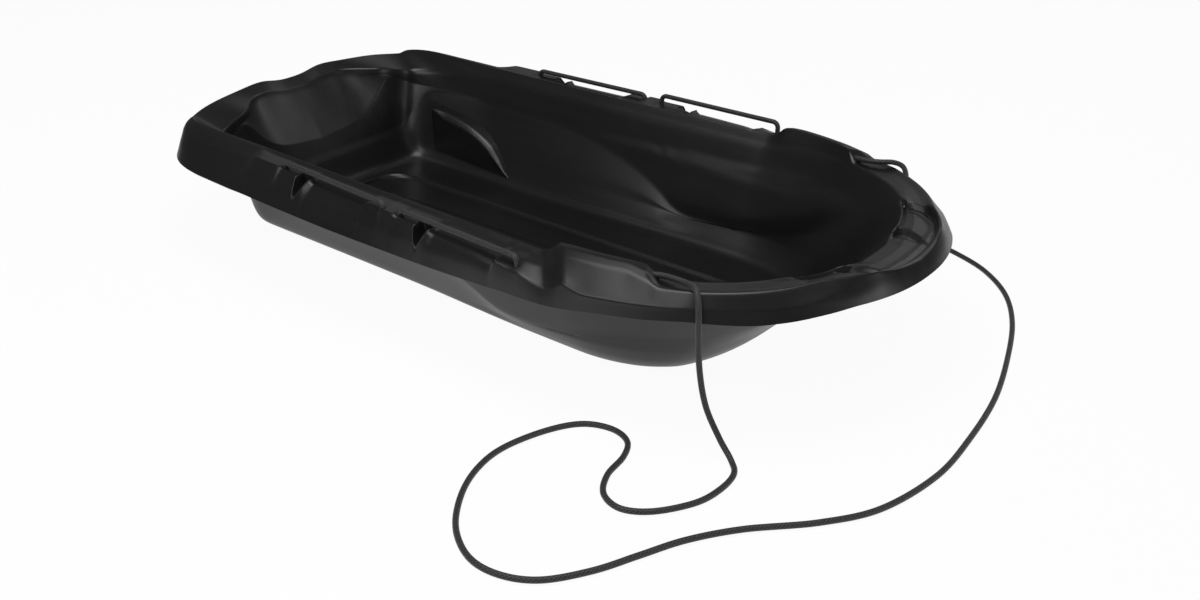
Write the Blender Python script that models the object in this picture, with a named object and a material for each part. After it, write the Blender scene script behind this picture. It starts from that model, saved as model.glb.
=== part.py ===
"""Utility sled: one thermoformed tub with a wide hollow rim, four rope grab handles and a tow rope.

Metres, +Z up, +X toward the bow, origin on the floor under the middle of the sled.
The tub is a loft: rings run round the sled from the floor out to the bottom of the skirt,
and stations run along each ring from the stern over the side to the nose.
"""
import math

import bpy
import bmesh
from mathutils import Vector

# Driving dimensions
LENGTH = 1.016
WIDTH = 0.5715
HEIGHT = 0.1778
WALL = 0.003
ROPE = 0.0065
ROPE_HOLE = 0.0085
GRAB_SPAN = 0.182
GRAB_FIRST = -0.229
GRAB_SECOND = -0.020
GRAB_INSET = 0.0085
GRAB_TRAVEL = 0.012
GRAB_RAISED = 0.005
GRAB_SEAT = 0.0158
GRAB_BEND = 0.0075
POCKET_DROP = 0.008
KNOT = 0.014
TUB_DEPTH_STEP = 0.004
GAP = 0.0003

HALF = WIDTH / 2
STRETCH = LENGTH / 1.016
DECK = HEIGHT - 0.0178
BOW_START = 0.176 * STRETCH
NOSE = LENGTH / 2


def along(x):
    """A place along the sled, which moves with the length."""
    return x * STRETCH


def follow(points, x):
    """A smooth curve through a few points, which never swings past them."""
    if x <= points[0][0]:
        return points[0][1]
    if x >= points[-1][0]:
        return points[-1][1]
    slopes = []
    for (x0, y0), (x1, y1) in zip(points[:-1], points[1:]):
        slopes.append((y1 - y0) / (x1 - x0))
    tangents = [slopes[0]]
    for a, b in zip(slopes[:-1], slopes[1:]):
        tangents.append(0.0 if a * b <= 0 else 2 * a * b / (a + b))
    tangents.append(slopes[-1])
    for i in range(len(slopes)):
        x0, y0 = points[i]
        x1, y1 = points[i + 1]
        if x <= x1:
            h = x1 - x0
            t = (x - x0) / h
            return (y0 * (1 + 2 * t) * (1 - t) ** 2 + y1 * t * t * (3 - 2 * t)
                    + h * tangents[i] * t * (1 - t) ** 2 + h * tangents[i + 1] * t * t * (t - 1))


def ramp(x, start, end):
    """0 before start, 1 after end, straight between."""
    return min(1.0, max(0.0, (x - start) / (end - start)))


def blend(a, b, t):
    return a + (b - a) * t


def handle_places():
    """Start, end and side of each grab rope, from its two legs."""
    return [(along(GRAB_FIRST), along(GRAB_FIRST) + GRAB_SPAN),
            (along(GRAB_SECOND), along(GRAB_SECOND) + GRAB_SPAN)]


# Stations along the side: one coordinate, which each ring turns into its own place.
# The shoulder's step and the tow notch lie aslant, so the outer rings meet them further forward.
STEP_KEYS = [150, 168, 181, 193, 216, 244, 270, 292, 308, 347]
TUB_KEYS = [150, 168, 180, 192, 216, 244, 274, 303, 306, 342]
LIP_KEYS = [150, 180, 196, 208, 228, 254, 284, 320, 326, 358]
EDGE_KEYS = [150, 204, 217, 228, 243, 262, 288, 318, 326, 356]


def aslant(keys, s):
    """Where a station lies on the ring whose own places are keys (millimetres in, metres out)."""
    if s <= STEP_KEYS[0]:
        return along(s / 1000)
    for i in range(len(keys) - 1):
        if s <= STEP_KEYS[i + 1]:
            t = (s - STEP_KEYS[i]) / (STEP_KEYS[i + 1] - STEP_KEYS[i])
            return along(blend(keys[i], keys[i + 1], t) / 1000)
    return along(keys[-1] / 1000)


def bowed(x, half, reach, m, n):
    """Half width of a bow outline that starts at BOW_START and closes at reach."""
    t = min(1.0, max(0.0, (x - BOW_START) / (reach - BOW_START)))
    return half * (1 - t ** m) ** (1 / n)


def bow_place(part, reach, m, n):
    """How far forward the same outline is at a part of its half width."""
    return BOW_START + (reach - BOW_START) * (1 - min(1.0, part) ** n) ** (1 / m)


STERN_START = along(-0.300)


def stern_place(part, reach, m, n):
    """How far back a stern outline is at a part of its half width."""
    return STERN_START - (STERN_START - reach) * (1 - min(1.0, part) ** n) ** (1 / m)


def crest_half(x):
    return HALF - 0.0533 + 0.0317 * x / STRETCH


def edge_half(x):
    return min(HALF - 0.0122 + 0.068 * x / STRETCH, HALF - 0.0047)


# Each ring: stern outline (reach, along power, across power), bow outline, and where its side lies.
class Ring:
    def __init__(self, name, stern, bow, side, height, keys=None, crowd=0.0):
        self.name = name
        self.stern = stern
        self.bow = bow
        self.side = side
        self.height = height
        self.keys = keys
        self.crowd = crowd

    def side_place(self, s):
        reach, m, n = self.bow
        if self.keys:
            x = aslant(self.keys, s)
        else:
            t = (aslant(TUB_KEYS, s) - BOW_START) / (along(0.442) - BOW_START)
            x = along(s / 1000) if t <= 0 else BOW_START + t * (reach - BOW_START)
        half = self.side(min(x, BOW_START))
        if x > BOW_START:
            half = bowed(x, half, reach, m, n)
        return x, half

    def point(self, zone, t):
        """A point of the ring: zone stern, side or bow, t a fraction or a station."""
        if zone == "side":
            x, y = self.side_place(t)
        elif zone == "stern":
            # Low rings crowd their stations toward the corner, to stand under the mouth's own corner.
            part = blend(t, 1 - (1 - t) ** 2, self.crowd)
            y = self.side(STERN_START) * part
            x = along(follow(self.stern, t)) if isinstance(self.stern, list) else stern_place(part, *self.stern)
        else:
            reach, m, n = self.bow
            start = (self.side_place(347)[0] - BOW_START) / (reach - BOW_START)
            part = (1 - start ** m) ** (1 / n) * t
            y = self.side(BOW_START) * part
            x = bow_place(part, reach, m, n)
        return [x, y, self.height(zone, t, x, y)]


def crease_height(x):
    """Height of the crease where the side wall's bulge ends, falling forward to the floor."""
    t = min(1.0, max(0.0, (x / STRETCH + 0.37) / 0.452))
    return max(0.035, 0.112 * (1 - t ** 3) ** (1 / 1.7))


def fin_height(x):
    """Height of the arched edge of the recess at the foot of the side wall, near the stern."""
    t = min(1.0, max(0.0, (x / STRETCH + 0.400) / 0.182))
    return 0.026 + 0.078 * (1 - t ** 1.5)


def fin_depth(x):
    """How far outboard the recess under the arch is pressed."""
    return 0.007 * ramp(x, along(-0.392), along(-0.380)) * ramp(fin_height(x), 0.027, 0.045)


def floor_ring(name, half, z, reach_back, reach_front, nose, power=10.0, crowd=0.0):
    def side(x):
        return half(x)

    def height(zone, t, x, y):
        if zone == "bow":
            start = blend(z, nose, 0.10)
            return blend(nose, start, t ** 1.3)
        if zone == "side" and x > BOW_START:
            return blend(z, blend(z, nose, 0.10), ramp(t, 176, 347) ** 2)
        return z
    return Ring(name, (reach_back, power, power), (reach_front, 2.0, 2.2), side, height, None, crowd)


def make_rings():
    rings = []
    deep = WALL
    floor = WALL + TUB_DEPTH_STEP

    def const(v):
        return lambda x: v
    rings.append(floor_ring("spine", const(0.0), floor, along(-0.372), along(0.262), 0.010, 2.0))
    rings.append(floor_ring("trough_in_top", const(0.030), floor, along(-0.374), along(0.272), 0.012, 2.5))
    rings.append(floor_ring("trough_in", const(0.041), deep, along(-0.376), along(0.280), 0.013, 2.5))
    rings.append(floor_ring("trough_out", const(0.097), deep, along(-0.384), along(0.304), 0.022, 5.0))
    rings.append(floor_ring("trough_out_top", const(0.1005), floor, along(-0.386), along(0.308), 0.026, 5.0))

    def bottom_half(x):
        return HALF - 0.2857 + follow([(-0.4, 0.150), (-0.1, 0.153), (0.1, 0.160), (0.18, 0.160)], x / STRETCH)
    rings.append(floor_ring("floor_edge", bottom_half, floor, along(-0.393), along(0.330), 0.040, crowd=0.6))
    rings.append(floor_ring("fillet", lambda x: bottom_half(x) + 0.011, floor + 0.0045, along(-0.402),
                            along(0.344), 0.053, crowd=0.8))

    def foot_half(x):
        return bottom_half(x) + blend(0.0165, 0.0200, ramp(x, along(0.06), along(0.09)))
    foot_z = floor + 0.0155
    rings.append(floor_ring("wall_foot", lambda x: foot_half(x) + fin_depth(x), foot_z, along(-0.4085),
                            along(0.357), 0.066, crowd=0.8))
    wall_z = DECK - 0.0185

    def top_half(x):
        return crest_half(x) - 0.0105

    def crease_half(x):
        return top_half(x) - 0.33 * (wall_z - crease_height(x))

    def wall_half(x, z):
        """Half width of the bulged wall between its foot and its crease."""
        top = crease_height(x)
        share = 0.0 if top - foot_z < 0.001 else min(1.0, max(0.0, (z - foot_z) / (top - foot_z)))
        return blend(foot_half(x), max(crease_half(x), foot_half(x) + 0.004), share)

    def fin_z(x, above):
        arch = max(0.028, fin_height(x))
        room = crease_height(x) - 0.004
        return min(room, arch + above * ramp(arch, 0.028, 0.040) + 0.004 * (above > 0))

    def fin_low(zone, t, x, y):
        if zone == "bow":
            return blend(0.074, 0.036, t ** 1.3)
        if zone == "stern":
            return blend(0.045, fin_z(x, -0.004), ramp(t, 0.7, 0.97))
        return blend(fin_z(x, -0.004), 0.036, ramp(x, along(0.1), along(0.28)))

    def fin_high(zone, t, x, y):
        if zone == "bow":
            return blend(0.082, 0.044, t ** 1.3)
        if zone == "stern":
            return blend(0.055, fin_z(x, 0.003), ramp(t, 0.7, 0.97))
        return blend(fin_z(x, 0.003), 0.044, ramp(x, along(0.1), along(0.28)))

    def fin_low_side(x):
        return wall_half(x, fin_z(x, -0.004)) + fin_depth(x)

    def fin_high_side(x):
        return wall_half(x, fin_z(x, 0.003)) - 0.30 * fin_depth(x)
    rings.append(Ring("fin_low", (along(-0.418), 8.0, 8.0), (along(0.364), 2.0, 2.2), fin_low_side, fin_low,
                      crowd=0.65))
    rings.append(Ring("fin_high", (along(-0.424), 8.0, 7.0), (along(0.371), 2.0, 2.2), fin_high_side, fin_high,
                      crowd=0.55))

    def crease_z(zone, t, x, y):
        if zone == "bow":
            return blend(0.106, 0.070, t ** 1.3)
        if zone == "stern":
            return DECK + follow([(0.0, -0.0850), (0.28, -0.0780), (0.46, -0.0550), (0.60, -0.0260),
                                  (0.72, -0.0340), (0.84, -0.0440), (0.93, -0.0470), (1.0, -0.0480)], t)
        return blend(crease_height(x), 0.070, ramp(x, along(0.1), along(0.30)))
    # Behind, the crease is the U-shaped lower edge of a panel that leans back to the rim.
    panel = [(0.0, -0.4345), (0.30, -0.4350), (0.60, -0.4375), (0.72, -0.4350), (0.82, -0.4300), (0.87, -0.4225),
             (0.92, -0.4020), (0.96, -0.3650), (1.0, -0.3000)]
    rings.append(Ring("crease", panel, (along(0.395), 2.0, 2.3),
                      lambda x: max(crease_half(x), foot_half(x) + 0.004), crease_z, crowd=0.35))

    def tub_z(zone, t, x, y):
        if zone == "stern":
            z = DECK + follow([(0.0, -0.0100), (0.62, -0.0120), (0.70, -0.0160), (0.84, -0.0230), (0.92, -0.0225),
                               (1.0, -0.0115)], t)
            return z - 0.008 * (1 - ramp(t, 0.10, 0.24))
        if zone == "side":
            return DECK + follow([(-300, -0.0115), (0, -0.0105), (168, -0.0100), (193, -0.0050), (216, -0.0010),
                                  (244, 0.0015), (292, 0.0030), (308, 0.0030), (347, 0.0018)], t)
        z = DECK + follow([(0.0, 0.0055), (0.45, 0.0060), (0.65, 0.0080), (0.80, 0.0058), (1.0, 0.0018)], t)
        return z - 0.009 * (1 - ramp(t, 0.17, 0.30))
    # The tub's mouth has its stern corners cut off, which leaves a broad web there.
    mouth = [(0.0, -0.4840), (0.34, -0.4830), (0.41, -0.4790), (0.62, -0.4420), (0.70, -0.4385), (0.84, -0.4320),
             (0.90, -0.4160), (0.95, -0.3860), (1.0, -0.3000)]
    rings.append(Ring("wall_top", [(t, x + 0.004 * (1 - t)) for t, x in mouth], (along(0.436), 2.2, 2.7), top_half,
                      lambda zone, t, x, y: tub_z(zone, t, x, y) - 0.0075, TUB_KEYS))
    rings.append(Ring("tub_edge", mouth, (along(0.442), 2.2, 2.7),
                      lambda x: crest_half(x) - 0.0070, tub_z, TUB_KEYS))

    def crest_z(zone, t, x, y):
        if zone == "stern":
            z = DECK + follow([(0.0, 0.0015), (0.23, 0.0010), (0.44, -0.0025), (0.68, -0.0060), (0.88, -0.0100),
                               (0.93, -0.0045), (1.0, -0.0020)], t)
            return z - 0.008 * (1 - ramp(t, 0.08, 0.225)) ** 0.8
        if zone == "side":
            return DECK + follow([(-300, -0.0020), (0, -0.0010), (150, 0.0), (168, 0.0003), (181, 0.0060),
                                  (193, 0.0162), (216, 0.0177), (244, 0.0178), (270, 0.0177), (292, 0.0164),
                                  (308, 0.0032), (347, 0.0026)], t)
        z = DECK + follow([(0.0, 0.0060), (0.30, 0.0062), (0.60, 0.0066), (0.8, 0.0060), (1.0, 0.0026)], t)
        return z - 0.006 * (1 - ramp(t, 0.16, 0.28))
    crest = Ring("crest", (along(-0.497), 8, 3.2), (along(0.460), 2.1, 2.4), crest_half, crest_z, STEP_KEYS)
    rings.append(crest)

    def drop(x):
        """How far the rope pocket lowers the rim at x: slots at the legs, a notch and a finger pocket."""
        total = 0.0
        for a, b in handle_places():
            slot = ramp(x, a - 0.004, a + 0.001) * (1 - ramp(x, b - 0.001, b + 0.004))
            notch = max(0.0, 1 - abs(x - a - 0.039) / 0.019)
            pocket = ramp(x, a + 0.045, a + 0.058) * (1 - ramp(x, b - 0.032, b - 0.027))
            total += max(0.30 * slot, pocket, 3.3 * notch) * POCKET_DROP
        return total

    def edge_z(zone, t, x, y):
        if zone == "stern":
            z = crest_z(zone, t, x, y)
            return blend(z - 0.009, DECK - 0.0125, ramp(t, 0.85, 1.0))
        if zone == "side":
            z = DECK + follow([(-300, -0.0100), (-286, -0.0045), (-276, -0.0022), (0, -0.0020), (100, -0.0040),
                               (150, -0.0085), (168, -0.0190), (181, -0.0140), (193, -0.0055), (216, -0.0050),
                               (347, -0.0040)], t)
            return z - drop(x)
        return DECK + follow([(0.0, 0.0060), (0.2, 0.0085), (0.32, 0.0110), (0.43, 0.0080), (0.57, 0.0040),
                              (0.70, 0.0), (0.86, -0.0030), (1.0, -0.0040)], t)

    def edge_side(x):
        half = edge_half(x)
        sloped = blend(crest_half(x), HALF - 0.002, 0.42)
        return blend(sloped, half, ramp(x, along(-0.300), along(-0.280))) - 0.35 * drop(x)
    edge = Ring("edge", (along(-0.5035), 5.5, 3.0), (along(0.4965), 1.87, 2.1), edge_side, edge_z, EDGE_KEYS)

    def skirt_z(zone, t, x, y):
        if zone == "stern":
            return DECK - 0.0400
        if zone == "side":
            return DECK + follow([(-300, -0.0415), (-120, -0.0445), (20, -0.0435), (120, -0.0400), (193, -0.0345),
                                  (270, -0.0275), (347, -0.0222)], t)
        return DECK + follow([(0.0, -0.0100), (0.45, -0.0110), (0.60, -0.0150), (0.75, -0.0205), (0.86, -0.0230),
                              (1.0, -0.0222)], t)
    skirt = Ring("skirt", (-LENGTH / 2, 3.65, 2.4), (NOSE, 2.0, 2.1),
                 lambda x: HALF - 0.0022 * ramp(-x, along(0.12), along(0.30)), skirt_z, EDGE_KEYS)

    def between(name, share, lift, at):
        """A ring that is worked out from the crest and the edge."""
        class Middle(Ring):
            def point(self, zone, t):
                a = at[0].point(zone, t)
                b = at[1].point(zone, t)
                w = share(zone, t)
                p = [blend(a[i], b[i], w) for i in range(3)]
                p[2] += lift(zone, t, p[0])
                return p
        return Middle(name, None, None, None, None)

    def lip_share(zone, t):
        if zone == "stern":
            return blend(0.70, 0.55, ramp(t, 0.9, 1.0))
        if zone == "side":
            return follow([(-300, 0.55), (140, 0.60), (181, 0.50), (270, 0.50), (292, 0.72), (308, 0.78),
                           (347, 0.90)], t)
        return follow([(0.0, 0.90), (0.32, 0.94), (0.45, 0.80), (0.60, 0.62), (0.75, 0.76), (0.85, 0.84),
                       (1.0, 0.90)], t)

    def lip_lift(zone, t, x):
        if zone == "stern":
            return blend(0.0039, 0.0015, ramp(t, 0.86, 1.0))
        if zone == "side":
            z = follow([(-300, 0.0015), (-285, 0.0008), (-270, -0.0010), (140, -0.0005), (168, 0.004), (193, 0.0055),
                        (244, 0.0056), (270, 0.0060), (292, 0.0070), (308, 0.0075), (347, 0.0095)], t)
            return z + 0.15 * drop(x)
        return follow([(0.0, 0.0010), (0.2, 0.0018), (0.32, 0.0035), (0.45, 0.0082), (0.60, 0.0100),
                       (0.75, 0.0098), (0.85, 0.0100), (1.0, 0.0095)], t)
    lip = between("lip", lip_share, lip_lift, (crest, edge))

    def shelf_share(zone, t):
        if zone == "bow":
            return 0.62
        if zone == "side":
            return follow([(-300, 0.40), (193, 0.40), (270, 0.40), (292, 0.50), (308, 0.62), (347, 0.62)], t)
        return blend(0.57, 0.40, ramp(t, 0.86, 1.0))

    def shelf_lift(zone, t, x):
        if zone == "stern":
            return 0.0007
        if zone == "side":
            return follow([(-300, 0.0010), (-280, -0.0016), (160, -0.0016), (193, 0.0018), (270, 0.0018),
                           (292, 0.0015), (308, -0.0004), (347, -0.0012)], t)
        return follow([(0.0, 0.0), (0.3, -0.0008), (0.5, -0.0045), (0.8, -0.0022), (1.0, -0.0012)], t)
    shelf = between("shelf", shelf_share, shelf_lift, (crest, lip))

    def waist_share(zone, t):
        return 0.55

    def waist_lift(zone, t, x):
        """The waist keeps its height under the pockets, but stays under a deep notch's edge."""
        if zone == "side":
            return 0.0015 + min(0.45 * drop(x), 0.0050)
        return 0.0015
    waist = between("waist", waist_share, waist_lift, (edge, skirt))
    rings += [shelf, lip, edge, waist, skirt]
    return rings


def stations():
    """The stern's fractions, the side's places (millimetres before stretching) and the bow's fractions."""
    found = [("stern", t) for t in (0.0, 0.10, 0.17, 0.225, 0.33, 0.48, 0.63, 0.72, 0.80, 0.86, 0.915, 0.955, 0.985,
                                      0.997)]
    side = [-300, -284, -270, -250]
    for a, b in handle_places():
        first = a / STRETCH * 1000
        last = b / STRETCH * 1000
        side += [first - 4, first + 1, first + 20, first + 39, first + 46, first + 58,
                 (first + last) / 2 + 12, last - 32, last - 27, last - 1, last + 4]
    side += STEP_KEYS[1:]
    found += [("side", s) for s in sorted(side)]
    found += [("bow", t) for t in (0.93, 0.85, 0.76, 0.67, 0.59, 0.50, 0.41, 0.33, 0.27, 0.19, 0.10, 0.0)]
    return found


def make_material(name, colour, roughness):
    material = bpy.data.materials.new(name)
    material.use_nodes = True
    shader = material.node_tree.nodes["Principled BSDF"]
    shader.inputs["Base Color"].default_value = (*colour, 1.0)
    shader.inputs["Roughness"].default_value = roughness
    material.diffuse_color = (*colour, 1.0)
    return material


def new_object(name, mesh, material):
    part = bpy.data.objects.new(name, mesh)
    bpy.context.collection.objects.link(part)
    mesh.materials.append(material)
    return part


def hull_mesh():
    """The sled's surface from the rings, then the same surface a wall's thickness under it."""
    rings = make_rings()
    marks = stations()
    rows = []
    for ring in rings:
        right = [ring.point(zone, t) for zone, t in marks]
        left = [[x, -y, z] for x, y, z in reversed(right[1:-1])]
        rows.append(right + left)
    count = len(rows[0])
    stern = sum(1 for zone, t in marks if zone == "stern")
    shell = bmesh.new()
    grid = [[shell.verts.new(p) for p in row] for row in rows]
    # The stern rim turns over tightly, so its wall thins there as a drawn sheet does.
    thin = {}
    for ring, row in zip(rings, grid):
        share = {"crest": 0.75, "shelf": 0.45, "lip": 0.45, "edge": 0.75}.get(ring.name)
        if share:
            for j in list(range(stern)) + list(range(count - stern + 1, count)):
                thin[row[j]] = share
    for inner, outer in zip(grid[:-1], grid[1:]):
        for j in range(count):
            k = (j + 1) % count
            shell.faces.new((inner[j], inner[k], outer[k], outer[j]))
    bmesh.ops.remove_doubles(shell, verts=shell.verts, dist=0.00002)
    bmesh.ops.triangulate(shell, faces=shell.faces, quad_method="BEAUTY")
    bmesh.ops.recalc_face_normals(shell, faces=shell.faces)
    shell.normal_update()
    up = sum(f.normal.z * f.calc_area() for f in shell.faces)
    if up < 0:
        bmesh.ops.reverse_faces(shell, faces=shell.faces)
        shell.normal_update()
    top = list(shell.verts)
    faces = [list(f.verts) for f in shell.faces]
    rim = [e for e in shell.edges if len(e.link_faces) == 1]
    under = {}
    for v in top:
        under[v] = v.co - v.normal * WALL * thin.get(v, 1.0)
    twin = {v: shell.verts.new(p) for v, p in under.items()}
    for f in faces:
        shell.faces.new([twin[v] for v in reversed(f)])
    for e in rim:
        a, b = e.verts
        loop = e.link_loops[0]
        if loop.vert is a:
            a, b = b, a
        shell.faces.new((a, b, twin[b]))
        shell.faces.new((a, twin[b], twin[a]))
    bmesh.ops.recalc_face_normals(shell, faces=shell.faces)
    mesh = bpy.data.meshes.new("hull")
    shell.to_mesh(mesh)
    shell.free()
    for polygon in mesh.polygons:
        polygon.use_smooth = True
    return mesh


def tube(name, points, radius, material, swell=None, resolution=2):
    """A tube of one radius, or with a swelling at given points."""
    curve = bpy.data.curves.new(name, "CURVE")
    curve.dimensions = "3D"
    curve.bevel_depth = radius
    curve.bevel_resolution = resolution
    curve.use_fill_caps = True
    spline = curve.splines.new("POLY")
    spline.points.add(len(points) - 1)
    for i, p in enumerate(points):
        spline.points[i].co = (*p, 1.0)
        spline.points[i].radius = 1.0 if swell is None else swell[i]
    part = bpy.data.objects.new(name, curve)
    bpy.context.collection.objects.link(part)
    curve.materials.append(material)
    return part


def grab_rope(name, side, start, raised, material):
    """A rope staple along the rim: two legs through the rim, each with a knot under it."""
    y0 = side * (edge_half(start) - GRAB_INSET)
    y1 = side * (edge_half(start + GRAB_SPAN) - GRAB_INSET)
    top = DECK + 0.0015 + raised
    knot_top = DECK - GRAB_SEAT - GRAB_TRAVEL + raised
    bend = GRAB_BEND
    half = []
    swell = []
    bulge = KNOT / ROPE
    for part, size in ((1.0, 0.55), (0.86, 0.92), (0.5, 1.0), (0.14, 0.92), (0.0, 0.55)):
        half.append((0.0, knot_top - KNOT * part))
        swell.append(bulge * size)
    half.append((0.0, knot_top + 0.0004))
    swell.append(1.0)
    for step in range(5):
        angle = math.pi / 2 * step / 4
        half.append((bend * (1 - math.cos(angle)), top - bend * (1 - math.sin(angle))))
        swell.append(1.0)
    along_run = [(0.25, 0.0), (0.5, 0.0)]
    points = []
    for out, z in half:
        points.append((start + out, blend(y0, y1, out / GRAB_SPAN), z))
    for part, rise in along_run:
        points.append((start + GRAB_SPAN * part, blend(y0, y1, part), top + rise))
        swell.append(1.0)
    count = len(points)
    for i in range(count - 2, -1, -1):
        x, y, z = points[i]
        points.append((2 * start + GRAB_SPAN - x, y0 + y1 - y, z))
        swell.append(swell[i])
    return tube(name, points, ROPE / 2, material, swell)


def leg_places(side):
    """The holes that a side's rope legs pass through."""
    found = []
    for a, b in handle_places():
        for x, base in ((a, a), (b, a)):
            y0 = edge_half(a) - GRAB_INSET
            y1 = edge_half(a + GRAB_SPAN) - GRAB_INSET
            found.append((x, side * blend(y0, y1, (x - a) / GRAB_SPAN)))
    return found


# The tow rope's route, near side first: over the ledge and the lip, down to the floor, round in two
# loops on the floor and up over the far lip. Forward, sideways, up; millimetres.
TOW_ROUTE = [(287, -227.5, 160.5), (303, -222.0, 166.6), (320, -219.5, 168.4), (343, -221.5, 169.6),
             (357, -227.5, 170.0), (366, -234.5, 163.0), (371, -239.5, 149.0), (373, -241.0, 132.0),
             (377, -241.0, 90.0), (387, -240.5, 51.0), (406, -240.5, 20.0), (425, -247, 5.5),
             (439, -264, 3.6), (443, -295, 3.6), (437, -330, 3.6), (414, -368, 3.6), (387, -385, 3.6),
             (360, -376, 3.6), (343, -347, 3.6), (336, -310, 3.6), (322, -284, 3.6), (296, -275, 3.6),
             (266, -287, 3.6), (245, -322, 3.6), (232, -375, 3.6), (236, -420, 3.6), (254, -465, 3.6),
             (286, -509, 3.6), (325, -535, 3.6), (362, -537, 3.6), (396, -519, 3.6), (424, -478, 3.6),
             (443, -433, 3.6), (463, -386, 3.6), (495, -337, 3.6), (545, -281, 3.6), (580, -222, 3.6),
             (597, -135, 3.6), (594, -50, 3.6), (581, 50, 3.6), (555, 150, 3.6), (524, 240, 3.6),
             (487, 308, 3.6), (440, 356, 3.6), (392, 382, 3.6), (355, 392, 3.8), (336, 372, 8.0),
             (338, 335, 26.0), (347, 297, 65.0), (355, 266, 105.0), (359, 253, 133.0), (361, 248.5, 150.0),
             (359, 240, 164.5), (350, 231.0, 170.4), (336, 223.0, 169.8), (320, 219.5, 168.4),
             (303, 222.0, 166.6), (287, 227.5, 160.5)]


TOW_RIM = 0.105


def smooth_route(route):
    """A fine smooth curve through the route's own points, with the length up to each point."""
    ends = [2 * route[0] - route[1]] + route + [2 * route[-1] - route[-2]]
    fine = []
    for a, b, c, d in zip(ends[:-3], ends[1:-2], ends[2:-1], ends[3:]):
        for step in range(12):
            t = step / 12
            fine.append(0.5 * (2 * b + (c - a) * t + (2 * a - 5 * b + 4 * c - d) * t * t
                               + (3 * b - 3 * c + d - a) * t * t * t))
    fine.append(route[-1])
    lengths = [0.0]
    for a, b in zip(fine[:-1], fine[1:]):
        lengths.append(lengths[-1] + (b - a).length)
    return fine, lengths


def read_route(route, places):
    """The smooth curve's points at given lengths along it."""
    fine, lengths = smooth_route(route)
    points = []
    j = 0
    for want in places:
        while j < len(fine) - 2 and lengths[j + 1] < want:
            j += 1
        t = (want - lengths[j]) / (lengths[j + 1] - lengths[j])
        points.append(fine[j].lerp(fine[j + 1], max(0.0, min(1.0, t))))
    return points


def tow_route():
    """The route fitted to this sled: its ends follow the notches and the floor part keeps its shape."""
    route = []
    for x, y, z in TOW_ROUTE:
        side = 1 if y > 0 else -1
        lift = HEIGHT - 0.1778 if z > 120 else (HEIGHT - 0.1778) * max(0.0, z - 6) / 114
        out = side * (HALF - 0.28575)
        route.append(Vector((x / 1000 + along(0.350) - 0.350, y / 1000 + out, z / 1000 + lift)))
    return route


def tow_points():
    """The tow rope's points: close together over the rims, wider apart on the floor."""
    route = tow_route()
    length = smooth_route(route)[1][-1]
    rim = TOW_RIM
    close = 11
    wide = 57
    places = [rim * i / close for i in range(close)]
    places += [rim + (length - 2 * rim) * i / wide for i in range(wide)]
    places += [length - rim + rim * i / close for i in range(close + 1)]
    return read_route(route, places), length


def tow_knot(name, end, before, material):
    """The stopper knot that holds the tow rope's end behind the notch's step."""
    back = (end - before).normalized()
    points = []
    swell = []
    for part, size in ((0.0, 0.55), (0.14, 0.92), (0.5, 1.0), (0.86, 0.92), (1.0, 0.55)):
        points.append(end + back * (GAP + KNOT * part))
        swell.append(size)
    return tube(name, points, KNOT / 2, material, swell)


def cutter(name, centre, axis, radius, length):
    """A plain round cutter for a rope hole."""
    mesh = bpy.data.meshes.new(name)
    tool = bmesh.new()
    turn = Vector((0, 0, 1)).rotation_difference(Vector(axis)).to_matrix().to_4x4()
    bmesh.ops.create_cone(tool, cap_ends=True, segments=10, radius1=radius, radius2=radius, depth=length,
                          matrix=turn)
    tool.to_mesh(mesh)
    tool.free()
    part = bpy.data.objects.new(name, mesh)
    part.location = centre
    bpy.context.collection.objects.link(part)
    part.display_type = "WIRE"
    part.hide_render = True
    return part


def path_cutter(name, points, radius):
    """A round cutter that follows a rope's own points."""
    mesh = bpy.data.meshes.new(name)
    tool = bmesh.new()
    sides = 10
    rows = []
    for i, p in enumerate(points):
        ahead = (points[min(i + 1, len(points) - 1)] - points[max(i - 1, 0)]).normalized()
        across = ahead.cross(Vector((0, 0, 1))).normalized()
        over = across.cross(ahead)
        rows.append([tool.verts.new(p + radius * (across * math.cos(2 * math.pi * k / sides)
                                                  + over * math.sin(2 * math.pi * k / sides)))
                     for k in range(sides)])
    for a, b in zip(rows[:-1], rows[1:]):
        for k in range(sides):
            tool.faces.new((a[k], a[(k + 1) % sides], b[(k + 1) % sides], b[k]))
    tool.faces.new(list(reversed(rows[0])))
    tool.faces.new(rows[-1])
    bmesh.ops.recalc_face_normals(tool, faces=tool.faces)
    tool.to_mesh(mesh)
    tool.free()
    part = bpy.data.objects.new(name, mesh)
    bpy.context.collection.objects.link(part)
    part.display_type = "WIRE"
    part.hide_render = True
    return part


def cut(body, tool):
    modifier = body.modifiers.new(tool.name, "BOOLEAN")
    modifier.operation = "DIFFERENCE"
    modifier.solver = "EXACT"
    modifier.object = tool


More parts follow.
